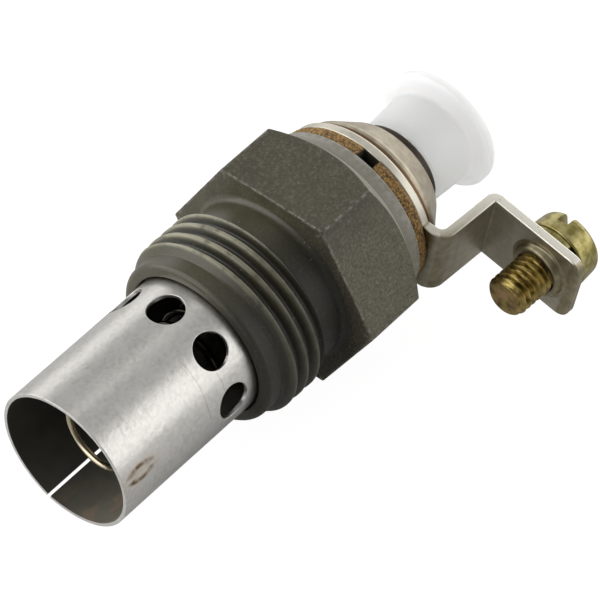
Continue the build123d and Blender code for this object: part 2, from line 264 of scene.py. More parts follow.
def rounded(corners, steps=6, closed=True):
    """Outline with rounded corners; each corner is (along, across, radius of its rounding)."""
    outline = []
    count = len(corners)
    for index, (along, across, radius) in enumerate(corners):
        here = np.array((along, across))
        inner = closed or 0 < index < count - 1
        if radius <= 0 or not inner:
            outline.append(here)
            continue
        back = np.array(corners[index - 1][:2]) - here
        on = np.array(corners[(index + 1) % count][:2]) - here
        back_length, on_length = np.linalg.norm(back), np.linalg.norm(on)
        back, on = back / back_length, on / on_length
        half = np.arccos(np.clip(back @ on, -1, 1)) / 2
        reach = min(radius / tan(half), 0.49 * back_length, 0.49 * on_length)
        radius = reach * tan(half)
        middle = (back + on) / np.linalg.norm(back + on)
        centre = here + middle * radius / sin(half)
        start = here + back * reach - centre
        end = here + on * reach - centre
        turn = np.arccos(np.clip(start @ end / radius**2, -1, 1))
        for step in range(steps + 1):
            part = step / steps
            arm = (sin((1 - part) * turn) * start + sin(part * turn) * end) / sin(turn)
            outline.append(centre + arm)
    return outline


def ring_at(along, radii, angles):
    """One ring of points from places along the axis and radii, either of which may vary."""
    along = along * np.ones_like(angles)
    radii = radii * np.ones_like(angles)
    return np.stack([along, radii * np.cos(angles), radii * np.sin(angles)], 1)


def lathe(name, corners, place=None, *, count, steps=6):
    """Turned piece: a closed outline of (along, radius, rounding) about its own axis."""
    angles = around(count)
    rings = [ring_at(along, max(radius, 0), angles) for along, radius in rounded(corners, steps)]
    return skin(name, rings, place)


def mark(made, name, values):
    """Keep a number for each point, for a material to read."""
    layer = made.data.attributes.new(name, "FLOAT", "POINT")
    layer.data.foreach_set("value", np.asarray(values, np.float32))


def points_of(made):
    """Points of a piece, in millimetres."""
    return read(made.data.vertices, "co", 3) / MM


def about_axis(made):
    """Points of a piece: millimetres along the axis, degrees about it, and radius."""
    x, y, z = points_of(made).T
    return x, np.degrees(np.arctan2(z, y)), np.hypot(y, z)


def angle_between(one, other):
    """Angle between two directions about the axis, in degrees."""
    return abs((one - other + 180) % 360 - 180)


def soft_least(a, b, width):
    """Lesser of two values, blended over a width, which rounds the edge between them."""
    blend = np.clip(0.5 + 0.5 * (b - a) / width, 0, 1)
    return b * (1 - blend) + a * blend - width * blend * (1 - blend)


def hex_radius(angles):
    """Distance from the axis to the hexagon's sides, with slightly rounded corners."""
    turn = np.degrees(angles) % 60 - 30
    one = hex_apothem / np.cos(np.radians(turn))
    other = hex_apothem / np.cos(np.radians(60 - np.abs(turn)))
    return soft_least(one, other, hex_corner_rounding)


def groove_depth(along, angles, pitch, crest_half):
    """Depth of a thread's groove with straight flanks, at a place along its axis."""
    offset = along / pitch - angles / (2 * pi)
    distance = np.abs((offset + 0.5) % 1 - 0.5) * pitch
    return np.maximum(distance - crest_half, 0) / thread_flank


def thread_surface(along, angles):
    """Radius of the manifold thread's surface at a place along the axis."""
    depth = groove_depth(along - thread_phase, angles, thread_pitch, thread_crest_half)
    depth = soft_least(depth, thread_radius - thread_root, 0.25)
    depth = -soft_least(-depth, 0, 0.12) - 0.03
    chamfer = nose_radius + (along - thread_end) * (thread_radius - nose_radius) / lead_in
    shoulder = relief_radius + (shoulder_end - along) * shoulder_slope
    surface = soft_least(
        thread_radius - np.maximum(depth, 0), min(thread_radius, chamfer, shoulder), 0.1)
    least = nose_radius if along < thread_middle else relief_radius
    return np.maximum(surface, least)


def rings_of(corners, angles, steps=6):
    """Rings of a turned outline with rounded corners, left open at its ends."""
    return [ring_at(along, radius, angles)
            for along, radius in rounded(corners, steps, closed=False)]


def hexagon_rings(angles):
    """Rings of the hexagon: near face, its rounded edge, flats, crease and chamfer cone."""
    sides = hex_radius(angles)
    start = relief_radius + relief_fillet
    rings = [ring_at(0, start + (sides - hex_edge - start) * part, angles) for part in (0.3, 0.8)]
    for turn in np.radians((0, 22.5, 45, 67.5, 90)):
        rings.append(
            ring_at(hex_edge * (1 - cos(turn)), sides - hex_edge * (1 - sin(turn)), angles))
    crease = hex_corner_length + (hex_corner - sides) / cone_slope
    for part in (0.02, 0.5, 0.97):
        rings.append(ring_at(hex_edge + (crease - crease_half - hex_edge) * part, sides, angles))
    for share in (-1, -0.5, 0, 0.5, 1):
        bend = share * crease_half
        cut = max(bend, 0) * cone_slope + crease_cut * (1 - abs(share))
        rings.append(ring_at(crease + bend, sides - cut, angles))
    for part in (0.15, 0.6, 0.97):
        along = crease + (cone_end - crease) * part
        rings.append(ring_at(along, boss_radius + (cone_end - along) * cone_slope, angles))
    return rings


def mark_body(made):
    """Where the body is worn bright, darkened with painted shade, turned, or cut to a cone; its
    crests also get painted light on their upper side.
    """
    along, angle, radius = about_axis(made)
    side = hex_radius(np.radians(angle))
    from_corner = np.minimum(angle % 60, 60 - angle % 60)
    corners = (along > -0.01) & (along < 10.3) & (radius > hex_apothem)
    near_edge = (along > -0.001) & (along < 0.1) & (radius > side - 0.1)
    boss_edge = (along > boss_end - 0.3) & (radius > boss_radius - 0.3)
    wear_and_highlight = np.maximum(corners * 0.55 * np.exp(-((from_corner / 0.6) ** 2)), near_edge * 0.5)
    mark(made, "wear_and_highlight", np.maximum(wear_and_highlight, boss_edge * 0.8))
    crests = (along > thread_end) & (along < thread_start + 0.4)
    # Crests are worn bright, and painted light makes them brighter on their upper side.
    upper = 0.12 + 0.88 * np.clip(np.cos(np.radians(angle - 60)), 0, 1) ** 2
    mark(made, "crest", crests * np.clip((radius - 10.8) / 0.2, 0, 1) * upper)
    # Painted shade: the near face, relief, thread and nose darken on their side round 165 degrees,
    # where shadow falls, by a share for each part.
    share = np.select([along < thread_end + lead_in, along < thread_start, along < -0.01],
                      [0.78, 0.35, 0.85], 0.6)
    painted_shade = np.clip((72 - angle_between(angle, 165)) / 34, 0, 1) * share
    mark(made, "painted_shade", painted_shade * ((along < 0.01) & (radius < side - 0.15)))
    beyond = (radius > boss_radius - 0.3) & (along > hex_corner_length - 0.2)
    mark(made, "cone", beyond & (radius < side - 0.05))
    mark(made, "turned", (along < -0.01) & (radius > shield_radius))
    # Painted shade in the thread's grooves, darker where they are deeper.
    threaded = (along > thread_end + lead_in) & (along < thread_start)
    depth = np.clip((thread_radius - 0.1 - radius) / 0.6, 0, 1)
    mark(made, "groove", depth * (threaded & (radius > nose_radius - 0.1)))


def make_body():
    """Body: bore, rounded nose, manifold thread, relief, hexagon, chamfer cone and boss."""
    bore = [
        (boss_end, bush_radius, 0.1), (chamber_top, bush_radius, 0.1),
        (chamber_top, chamber_radius, 0.1), (shield_root, chamber_radius, 0.05),
        (shield_root, shield_radius, 0.05), (nose_end + recess_depth, shield_radius, 0.1),
        (nose_end + recess_depth, recess_radius, 0.2), (nose_end, recess_radius + 0.1, 0.25),
        (nose_end, nose_radius, 0.8), (thread_end, nose_radius, 0),
    ]
    relief = [
        (shoulder_end, relief_radius, 0), (0, relief_radius, relief_fillet),
        (0, relief_radius + relief_fillet + 0.4, 0),
    ]
    boss = [(cone_end, boss_radius, 0), (boss_end, boss_radius, 0.25), (boss_end, bush_radius, 0.1)]
    angles = around(body_sides)
    threaded = np.arange(thread_end + 0.08, shoulder_end, thread_step)
    made = skin("body_steel", [
        *rings_of(bore, angles),
        *(ring_at(along, thread_surface(along, angles), angles) for along in threaded),
        *rings_of(relief, angles, 10)[:-1], *hexagon_rings(angles), *rings_of(boss, angles)[:-1],
    ])
    mark_body(made)
    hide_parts("body")
    return made


def sheet_point(along, angle):
    """Point of the rolled sheet's outer face, which stands a little proud beside the seam."""
    free = min(1, (shield_root - along) / 12)
    proud = seam_peak * (np.exp(-angle_between(angle, seam_angle) / 22) - 0.15)
    radius = shield_radius + free * proud
    return (along, radius * cos(radians(angle)), radius * sin(radians(angle)))


class Net:
    """Points shared by their place on the flat pattern, and the faces between them."""

    def __init__(self):
        self.points, self.index, self.faces = [], {}, []

    def point(self, along, angle):
        key = (round(along, 3), round(angle, 2))
        if key not in self.index:
            self.index[key] = len(self.points)
            self.points.append(sheet_point(along, angle))
        return self.index[key]

    def fill(self, loops, closed):
        """Faces between neighbouring loops of (along, angle)."""
        for outer, inner in zip(loops[:-1], loops[1:]):
            count = len(outer)
            for step in range(count if closed else count - 1):
                onward = (step + 1) % count
                corners = (outer[step], outer[onward], inner[onward], inner[step])
                self.faces.append([self.point(*corner) for corner in corners])


def loops_to_hole(border, hole):
    """Loops from a border of (along, angle) in to the rim of the round hole at an angle."""
    loops = []
    for share in (0, 0.4, 0.75, 0.92, 1):
        loop = []
        for along, angle in border:
            out = np.array((along - hole_place, (angle - hole) / degrees_per_mm))
            rim = out / np.linalg.norm(out) * hole_radius
            here = out + (rim - out) * share
            loop.append((hole_place + here[0], hole + here[1] * degrees_per_mm))
        loops.append(loop)
    return loops


def sheet_net():
    """Flat pattern of the shield, rolled round the axis, with its holes and its seam left open."""
    net = Net()
    half_seam = seam_width / 2 * degrees_per_mm
    pitch = 360 / hole_count
    first = seam_angle + (hole_phase - pitch / 2 - seam_angle) % pitch
    between = [first + pitch * step for step in range(hole_count - 1)]
    borders = [seam_angle + half_seam, *between, seam_angle + 360 - half_seam]
    half_band = 2.9
    below = [shield_mouth, shield_mouth + 0.15,
             *np.linspace(shield_mouth + 0.7, hole_place - half_band, 14)]
    above = np.linspace(hole_place + half_band, shield_root, 5)
    for left, right in zip(borders[:-1], borders[1:]):
        angles = np.linspace(left, right, 17)
        for rows in (below, above):
            net.fill([[(along, angle) for angle in angles] for along in rows], closed=False)
        hole = hole_phase + pitch * round(((left + right) / 2 - hole_phase) / pitch)
        rows = np.linspace(below[-1], above[0], 11)
        border = [(rows[0], angle) for angle in angles[:-1]]
        border += [(along, angles[-1]) for along in rows[:-1]]
        border += [(rows[-1], angle) for angle in angles[:0:-1]]
        border += [(along, angles[0]) for along in rows[:0:-1]]
        net.fill(loops_to_hole(border, hole), closed=True)
    return net


def apply_modifiers(made):
    """Turn a piece's modifiers into its mesh."""
    graph = bpy.context.evaluated_depsgraph_get()
    mesh = bpy.data.meshes.new_from_object(made.evaluated_get(graph), depsgraph=graph)
    made.modifiers.clear()
    made.data = mesh


def round_edges(made, width):
    """Round a piece's sharp edges and keep the result."""
    bevel = made.modifiers.new("edges", "BEVEL")
    bevel.width = width * MM
    bevel.segments = 3
    bevel.limit_method = "ANGLE"
    bevel.angle_limit = radians(50)
    apply_modifiers(made)
    weigh_normals(made)


def make_shield():
    """Rolled sheet shield: outer and inner face, rounded cut edges, open seam, round holes."""
    net = sheet_net()
    made = add_object("shield_sheet", net.points, net.faces)
    for material in (shield_look(), shield_inside_look()):
        made.data.materials.append(material)
    thick = made.modifiers.new("sheet", "SOLIDIFY")
    thick.thickness = sheet * MM
    thick.offset = -1
    thick.use_even_offset = True
    thick.material_offset = 1
    round_edges(made, 0.09)
    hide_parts("flame_shield")
    return made


def side_frame():
    """Frame of the strap's side view: x outwards along the tab, y along the plug's axis."""
    return Matrix((strap_way, plug_axis, strap_way.cross(plug_axis))).transposed().to_4x4()


def leaf_frame():
    """Frame of the terminal screw: origin on the leaf's middle, x outwards, z towards the head."""
    tilt = radians(leaf_tilt)
    height = leaf_height + (screw_reach - riser_distance) * tan(tilt)
    reach = strap_way * cos(tilt) + plug_axis * sin(tilt)
    up = plug_axis * cos(tilt) - strap_way * sin(tilt)
    place = Matrix((reach, up.cross(reach), up)).transposed().to_4x4()
    place.translation = strap_way * screw_reach + plug_axis * height
    return place


def screw_frame():
    """Lathe frame of the terminal screw, whose own x points towards the head."""
    return leaf_frame() @ Matrix(((0, 1, 0, 0), (0, 0, 1, 0), (1, 0, 0, 0), (0, 0, 0, 1)))


def bar_section(width, thickness, edge):
    """Outline of a flat bar with rounded edges, as (across, up) points."""
    half, up = width / 2, thickness / 2
    return rounded(
        [(half, up, edge), (-half, up, edge), (-half, -up, edge), (half, -up, edge)], 4)


def tab_route():
    """Middle of the tab and leaf in the side view, and the directions square to it."""
    rise = (leaf_height - ring_middle) / 2
    lean = rise * tan(radians(riser_lean))
    slope = tan(radians(leaf_tilt))
    high = riser_distance + lean
    route = np.array(rounded([
        (tab_root, ring_middle, 0), (riser_distance - lean, ring_middle, ring_bend),
        (high, leaf_height + lean * slope, leaf_bend),
        (leaf_reach, leaf_height + (leaf_reach - riser_distance) * slope, 0),
    ], 14, closed=False))
    way = (route[-1] - route[-2]) / np.linalg.norm(route[-1] - route[-2])
    early = route[0] + (route[1] - route[0]) * 0.6
    ends = [route[-1] - way * leaf_corner * (1 - sin(turn)) for turn in np.linspace(0, pi / 2, 13)]
    points = np.array([route[0], early, *route[1:-1], *ends])
    ahead = np.gradient(points, axis=0)
    ahead[-3:] = way
    ahead /= np.linalg.norm(ahead, axis=1)[:, None]
    return points, np.stack([-ahead[:, 1], ahead[:, 0]], 1)


def drawn_in(radius, left):
    """How far a rounded end has drawn in, at a distance left to its tip."""
    return radius - sqrt(max(radius**2 - max(radius - left, 0) ** 2, 0))


def make_tab():
    """Bent tab and leaf of the strap, swept along its side view."""
    points, square = tab_route()
    rings = []
    for index, (here, up) in enumerate(zip(points, square)):
        left = np.linalg.norm(points[-1] - here)
        thin = strap_thickness - 2 * drawn_in(leaf_edge, left)
        thin *= 0.94 if index < 2 else 1  # hidden in the ring
        section = bar_section(strap_width - 2 * drawn_in(leaf_corner, left), thin, 0.2)
        rings.append([(*(here + up * raised), across) for across, raised in section])
    made = skin("strap_tab", rings, side_frame(), closed=False, caps=True)
    away, along, across = (points_of(made) @ np.array(side_frame().to_3x3())).T
    up = np.clip((along - ring_middle) / (leaf_height - ring_middle), 0, 1)
    # Painted highlight: near-white marks along the tab's rounded edges, stronger up towards the leaf.
    edge = np.clip((np.abs(across) - strap_width / 2 + 0.25) / 0.15, 0, 1)
    mark(made, "wear_and_highlight", edge * np.maximum(0.15 + 0.85 * up, (away < 10.9) * 0.6))
    return made


def make_strap():
    """Strap: ring under the collar, tab with its leaf, and formed boss for the screw."""
    ring = lathe("strap_ring", [
        (ring_start, shank_hole, 0.1), (ring_start, ring_radius, 0.22),
        (ring_end, ring_radius, 0.3), (ring_end, shank_hole, 0.1),
    ], count=300)
    mark(ring, "wear_and_highlight", (about_axis(ring)[2] > ring_radius - 0.5) * 0.6)
    half = strap_thickness / 2
    boss = lathe("strap_boss", [
        (-half + 0.1, 2.52, 0), (-half + 0.1, 3.75, 0), (-half - 0.01, 3.75, 0),
        (-half - 0.08, 3.35, 0.4), (-half - 0.85, 3.15, 0.45), (-half - 0.85, 2.52, 0.12),
    ], screw_frame(), count=128)
    pieces = [ring, make_tab(), boss]
    for made in pieces:
        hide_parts("terminal_strap")
    return pieces


def make_shank():
    """Terminal screw's shank with its rolled thread."""
    tip = under_head - screw_length
    angles = around(120)
    rings = [ring_at(tip, 0.0, angles), ring_at(tip, 1.6, angles), ring_at(tip + 0.01, 2.0, angles)]
    for along in np.arange(tip + 0.06, under_head - 0.1, 0.05):
        depth = groove_depth(along, angles, screw_pitch, 0.05)
        thread = screw_radius - soft_least(depth, screw_radius - screw_root, 0.16) - 0.02
        rings.append(ring_at(along, soft_least(thread, 2.05 + (along - tip) * 0.9, 0.1), angles))
    rings += [ring_at(under_head + 0.2, radius, angles) for radius in (screw_radius - 0.1, 0.0)]
    made = skin("screw_shank", rings, screw_frame(), closed=False)
    back = np.array(leaf_frame().inverted())
    x, y, z = (points_of(made) @ back[:3, :3].T + back[:3, 3]).T
    mark(made, "wear_and_highlight", (z < tip + 0.05) * np.clip(1.9 - np.hypot(x, y), 0, 1))
    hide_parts("terminal_screw")
    return made


def make_head():
    """Terminal screw's cheese head with its slot."""
    top = under_head + head_height
    made = lathe("screw_head", [
        (under_head, 0, 0), (under_head, head_radius - 0.05, 0.25),
        (top, head_radius - 0.3, 0.9), (top + 0.1, 0, 0),
    ], screw_frame(), count=128)
    cutter = slot_cutter(top)
    cut = made.modifiers.new("slot", "BOOLEAN")
    cut.operation = "DIFFERENCE"
    cut.solver = "EXACT"
    cut.object = cutter
    apply_modifiers(made)
    bpy.data.objects.remove(cutter)
    round_edges(made, 0.1)
    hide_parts("terminal_screw")
    return made


def slot_cutter(top):
    """Box that cuts the screwdriver slot."""
    reach = 6.0
    turn = Matrix.Rotation(radians(slot_angle), 4, "Z")
    points = [(x * reach, y * slot_width / 2, top + z)
              for x in (-1, 1) for y in (-1, 1) for z in (-slot_depth, 1)]
    faces = [(0, 1, 3, 2), (4, 6, 7, 5), (0, 4, 5, 1), (2, 3, 7, 6), (0, 2, 6, 4), (1, 5, 7, 3)]
    return add_object("slot_cutter", points, faces, leaf_frame() @ turn)


def make_split_washer():
    """Spring washer: a square-section ring, cut through, with one end raised off the leaf."""
    half = washer_thickness / 2
    section = rounded([
        (washer_radius, half, 0.12), (washer_bore, half, 0.12),
        (washer_bore, -half, 0.12), (washer_radius, -half, 0.12),
    ], 3)
    middle = strap_thickness / 2 + half
    rings = []
    for share in np.linspace(0, 1, 97):
        turn = radians(washer_gap_angle + washer_half_gap + share * (360 - 2 * washer_half_gap))
        lift = max(share - 1 + washer_free_share, 0) / washer_free_share * washer_lift
        rings.append([(radius * cos(turn), radius * sin(turn),
                       middle + up * 0.98 + (lift if up < 0 else 0)) for radius, up in section])
    made = skin("split_washer", rings, leaf_frame(), closed=False, caps=True)
    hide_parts("spring_washer")
    return made


def make_collar():
    """Conical collar with a short land at its foot and a rounded rim."""
    made = lathe("collar_cone", [
        (collar_start, shank_hole, 0.1), (collar_start, collar_radius, 0.15),
        (collar_start + 1.2, collar_radius, 0.8), (collar_end, 6.9, 0.35),
        (collar_end, shank_hole + 0.1, 0.3), (collar_end - 0.5, shank_hole, 0.1),
    ], count=300)
    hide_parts("clamp_collar")
    return made


def make_fibre():
    """Pressed fibre washer with a rough rim and one broken notch."""
    angles = around(720)
    inside = np.clip((notch_half - angle_between(np.degrees(angles), notch_angle)) / 0.7, 0, 1)
    rng = np.random.default_rng(7)
    rough = np.zeros_like(angles)
    for waves in (9, 17, 31, 54, 97, 150):
        rough += np.sin(waves * angles + rng.uniform(0, 2 * pi)) * 0.32 / waves**0.75
    rings = []
    for along, radius, edge in (
        (0.02, 5.62, 0), (0.02, 9.9, 0), (0.05, 10.14, 1), (0.25, 10.24, 1), (0.55, 10.26, 1),
        (0.8, 10.22, 1), (1.05, 10.26, 1), (1.35, 10.2, 1), (1.55, 10.08, 1), (1.58, 9.8, 0),
        (1.58, 5.62, 0),
    ):
        own = radius + rough * 0.22 * edge * (1 + 0.5 * sin(along * 9))
        own = np.minimum(own, fibre_radius) - inside * (1.7 if radius > 8 else 0)
        rings.append(ring_at(fibre_start + along, own, angles))
    made = skin("fibre_ring", rings)
    # Painted shade: mark the broken notch, where the gap is in shadow, to be painted near black.
    from_notch = angle_between(about_axis(made)[1], notch_angle)
    mark(made, "notch_shade", np.clip((notch_half + 1.2 - from_notch) / 1.2, 0, 1))
    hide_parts("fibre_washer")
    return made


def make_plug():
    """Soft transit plug: nose in the port, slightly flared barrel and a dished, rounded brim."""
    made = lathe("soft_plug", [
        (neck_end - 4.1, 0, 0), (neck_end - 4.1, 2.2, 0.2), (neck_end, 2.5, 0.3),
        (neck_end + 0.9, 4.5, 0.5), (brim_end - 1.6, 4.85, 1.2), (brim_end - 0.02, 5.9, 0.3),
        (brim_end, brim_radius - 0.05, 0.3), (brim_end - 1.05, brim_radius, 0.16),
        (brim_end - 2.3, 5.75, 0.9), (neck_end + 0.01, 5.42, 0.25), (neck_end + 0.01, 3.46, 0.1),
        (neck_end - 5.0, 3.1, 0.5), (neck_end - 5.0, 0, 0),
    ], count=240, steps=8)
    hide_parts("transit_plug")
    return made


def make_neck():
    """Fuel inlet: spigot, head, and a shank with a chamfered end round its port."""
    made = lathe("inlet_neck", [
        (spigot_end, spigot_bore, 0), (spigot_end, spigot_radius, 0.15),
        (inlet_head_bottom, spigot_radius, 0.1), (inlet_head_bottom, inlet_head_radius, 0.2),
        (inlet_head_top, inlet_head_radius, 0.2), (inlet_head_top, neck_radius, 0.1),
        (neck_end, neck_radius, 0.35), (neck_end, port_radius + 0.7, 0.1),
        (neck_end - 0.7, port_radius, 0.1), (neck_end - 8, port_radius, 0.1),
        (neck_end - 9.5, spigot_bore, 0.1),
    ], count=200)
    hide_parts("fuel_inlet")
    return made


def tube_along(name, points, radius, sides=14):
    """Round wire through points in millimetres, with closed ends."""
    points = np.asarray(points, float)
    ahead = np.gradient(points, axis=0)
    ahead /= np.linalg.norm(ahead, axis=1)[:, None]
    up = np.cross(ahead[0], (1.0, 0.3, 0.2))
    rings = []
    for here, way in zip(points, ahead):
        up = up - way * (up @ way)
        up /= np.linalg.norm(up)
        side = np.cross(way, up)
        turn = around(sides)[:, None]
        rings.append(here + radius * (np.cos(turn) * up + np.sin(turn) * side))
    return skin(name, rings, closed=False, caps=True)


def make_coil():
    """Bare wire: lead from the inlet's head, coil, and a tail that is welded to the shield."""
    at = radians(coil_end_angle)
    turns = np.linspace(0, coil_turns, coil_turns * 40 + 1)
    helix = [(coil_last + coil_pitch * turn, coil_radius * cos(at + 2 * pi * turn),
              coil_radius * sin(at + 2 * pi * turn)) for turn in turns]
    weld = ring_at(coil_weld, shield_radius - 0.55, np.radians([coil_weld_angle]))[0]
    tail = [weld + (np.array(helix[0]) - weld) * share for share in np.linspace(0, 0.94, 8)]
    top = np.array(helix[-1])
    lead = [(top[0] + step, top[1], top[2]) for step in np.linspace(0.5, 6.8, 8)]
    made = tube_along("coil_wire", tail + helix[1:-1] + lead, wire_radius - 0.01)
    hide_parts("heater_coil")
    return made


def feed(tree, socket, value):
    """Link one socket to another, or set its value."""
    if isinstance(value, bpy.types.NodeSocket):
        tree.links.new(value, socket)
    else:
        socket.default_value = value


def add_node(tree, kind, inputs=None, **settings):
    """Shader node with its settings, and with its inputs linked or set."""
    made = tree.nodes.new("ShaderNode" + kind)
    for name, value in settings.items():
        setattr(made, name, value)
    for name, value in (inputs or {}).items():
        feed(tree, made.inputs[name], value)
    return made


def as_colour(value):
    """Socket as it is, or a colour with its opacity."""
    return value if isinstance(value, bpy.types.NodeSocket) else (*value, 1)


class Look:
    """One procedural material, with short names for its nodes."""

    def __init__(self, name, colour, roughness=0.5, metallic=0.0):
        self.material = bpy.data.materials.new(name)
        self.material.use_nodes = True
        self.tree = self.material.node_tree
        self.shader = self.tree.nodes["Principled BSDF"]
        self.place = self.node("TexCoord").outputs["Object"]
        self.colour = colour
        self.relief = None
        self.set("Roughness", roughness)
        self.set("Metallic", metallic)

    def node(self, kind, inputs=None, **settings):
        return add_node(self.tree, kind, inputs, **settings)

    def set(self, name, value):
        feed(self.tree, self.shader.inputs[name], value)

    def stretched(self, stretch):
        """Object coordinates in millimetres, multiplied along each axis."""
        scale = tuple(value / MM for value in stretch)
        return self.node("VectorMath", {0: self.place, 1: scale}, operation="MULTIPLY").outputs[0]

    def noise(self, size, detail, stretch=(1, 1, 1), rough=0.55):
        """Noise whose grain is about size millimetres."""
        return self.node("TexNoise", {
            "Vector": self.stretched(stretch), "Scale": 1 / size, "Detail": detail,
            "Roughness": rough,
        }).outputs["Fac"]

    def rings(self, size):
        """Noise that changes only with the distance from the plug's axis."""
        away = self.node("VectorMath", {0: self.stretched((0, 1, 1))}, operation="LENGTH")
        inputs = {"W": away.outputs["Value"], "Scale": 1 / size}
        noise = self.node("TexNoise", inputs, noise_dimensions="1D")
        return self.within(noise.outputs["Fac"], 0.35, 0.65)

    def mark(self, name):
        """Number kept for each point of the mesh."""
        return self.node("Attribute", attribute_name=name).outputs["Fac"]

    def axis(self, letter):
        """Place along one axis, in millimetres."""
        return self.node("SeparateXYZ", {"Vector": self.stretched((1, 1, 1))}).outputs[letter]

    def turn(self):
        """Angle about the plug's axis, in radians."""
        return self.math("ARCTAN2", self.axis("Z"), self.axis("Y"))

    def math(self, kind, one, other=0.0):
        return self.node("Math", {0: one, 1: other}, operation=kind).outputs[0]

    def times(self, one, other):
        return self.math("MULTIPLY", one, other)

    def off(self, value, middle):
        """Distance of a value from a middle, to either side."""
        return self.math("ABSOLUTE", self.math("SUBTRACT", value, middle))

    def within(self, value, low, high):
        """Smooth step from 0 at low to 1 at high."""
        inputs = {"Value": value, "From Min": low, "From Max": high}
        return self.node("MapRange", inputs, interpolation_type="SMOOTHSTEP").outputs["Result"]

    def blend(self, share, low, high):
        """Number between two numbers."""
        inputs = {"Value": share, "To Min": low, "To Max": high}
        return self.node("MapRange", inputs).outputs["Result"]

    def mix(self, share, one, other):
        """Colour between two colours."""
        inputs = {0: share, 6: as_colour(one), 7: as_colour(other)}
        return self.node("Mix", inputs, data_type="RGBA").outputs[2]

    def paint(self, share, colour, strength=1):
        """Lay a colour over the colour so far, by a share times a strength."""
        if strength < 1:
            share = self.times(share, strength)
        self.colour = self.mix(share, self.colour, colour)
        self.set("Base Color", self.colour)

    def bump(self, height, depth):
        """Relief of a depth in millimetres, added to the relief so far."""
        inputs = {"Strength": 1.0, "Distance": depth * MM, "Height": height}
        if self.relief is not None:
            inputs["Normal"] = self.relief
        self.relief = self.node("Bump", inputs).outputs["Normal"]
        self.set("Normal", self.relief)


def body_look():
    """Dark olive phosphate on flats and turned faces, worn light on its edges."""
    look = Look("phosphated_steel", (0.058, 0.053, 0.027))
    grain = look.noise(0.32, 5.0, rough=0.75)
    cloud = look.noise(2.2, 5.0)
    turned = look.mark("turned")
    look.paint(look.within(cloud, 0.3, 0.7), (0.083, 0.076, 0.041))
    # Painted shade: the hexagon's top flat is darker, as if less lit than its side.
    top = look.within(look.axis("Z"), hex_apothem - 1.2, hex_apothem - 0.3)
    look.paint(top, (0.041, 0.0375, 0.02), 0.5)
    look.paint(turned, look.mix(cloud, (0.036, 0.033, 0.014), (0.07, 0.065, 0.033)))
    # Painted light: the hexagon's side towards -Y is lighter, as if lit from that side.
    right = look.within(look.axis("Y"), -7.5, -9.5)
    right = look.times(right, look.blend(turned, 0.5, 0))
    look.paint(right, (0.128, 0.116, 0.067))
    # Painted shade: near black on the shadowed side of the turned faces and near face, and in the
    # thread's grooves.
    painted_shade = look.mark("painted_shade")
    low = look.math("MAXIMUM", painted_shade, look.times(look.mark("groove"), 0.85))
    look.paint(low, (0.01, 0.009, 0.006))
    # The -Y side also gets more light grain, as part of that painted light.
    grainy = look.math("ADD", look.blend(turned, 0.42, 0.12), look.times(right, 0.55))
    look.paint(look.times(look.within(grain, 0.5, 0.72), grainy), (0.25, 0.232, 0.155))
    dark = look.times(look.within(grain, 0.52, 0.32), look.blend(turned, 0.75, 0.3))
    look.paint(dark, (0.026, 0.024, 0.016))
    worn = paint_wear(look)
    look.set("Metallic", look.blend(worn, 0.0, 0.4))
    dull = look.times(painted_shade, 0.3)
    look.set("Roughness", look.math("ADD", look.blend(turned, 0.48, 0.34), dull))
    look.bump(grain, 0.006)
    look.bump(look.noise(0.22, 2.0, (1, 0.02, 0.02)), 0.005)
    return look.material


def paint_wear(look):
    """Tool arcs on the cone, specks, scratches, and bright crests and edges on the body; the crests
    are partly worn and partly painted light, brighter on their upper side.
    """
    arcs = look.mix(look.rings(0.3), (0.23, 0.217, 0.175), (0.36, 0.34, 0.285))
    look.paint(look.mark("cone"), arcs, 0.85)
    speck = look.within(look.noise(0.4, 2.0), 0.73, 0.78)
    look.paint(speck, (0.3, 0.29, 0.25), 0.45)
    scratch = look.within(look.noise(1.0, 2.0, (0.25, 2.2, 2.2)), 0.7, 0.76)
    look.paint(scratch, (0.3, 0.285, 0.23), 0.4)
    # Worn crests, brighter on their upper side as painted light.
    rubbed_and_lit = look.times(look.mark("crest"), look.within(look.noise(1.6, 5.0), 0.24, 0.56))
    look.paint(rubbed_and_lit, (0.33, 0.31, 0.215), 0.85)
    worn = look.times(look.mark("wear_and_highlight"), look.within(look.noise(0.6, 4.0), 0.4, 0.62))
    look.paint(worn, (0.34, 0.33, 0.29))
    return worn


def shield_look():
    """Rolled stainless sheet: satin, faintly mottled and scratched, browned at the weld."""
    look = Look("stainless_sheet", (0.53, 0.513, 0.48), metallic=1.0)
    cloud = look.noise(1.6, 5.0)
    fine = look.noise(0.5, 4.0)
    look.paint(look.within(cloud, 0.3, 0.7), (0.61, 0.597, 0.567))
    look.paint(look.within(fine, 0.35, 0.65), (0.64, 0.625, 0.59))
    paint_weld(look)
    for line in hairlines:
        look.paint(hairline(look, *line), (0.3, 0.25, 0.18), 0.45)
    look.set("Roughness", look.blend(cloud, 0.27, 0.38))
    look.bump(fine, 0.004)
    peel = look.within(look.off(look.turn(), radians(138)), 0.5, 0.15)
    look.bump(look.times(look.noise(0.6, 2.0), peel), 0.032)
    look.bump(look.noise(2.4, 2.0), 0.014)
    return look.material


def hairline(look, along, start, end):
    """Fine line scratched part of the way round the sheet, between two angles in degrees."""
    drift = look.blend(look.noise(3.0, 2.0), along - 0.35, along + 0.35)
    beside = look.within(look.off(look.axis("X"), drift), 0.09, 0.02)
    middle, half = radians((start + end) / 2), radians((end - start) / 2)
    return look.times(beside, look.within(look.off(look.turn(), middle), half, half * 0.7))


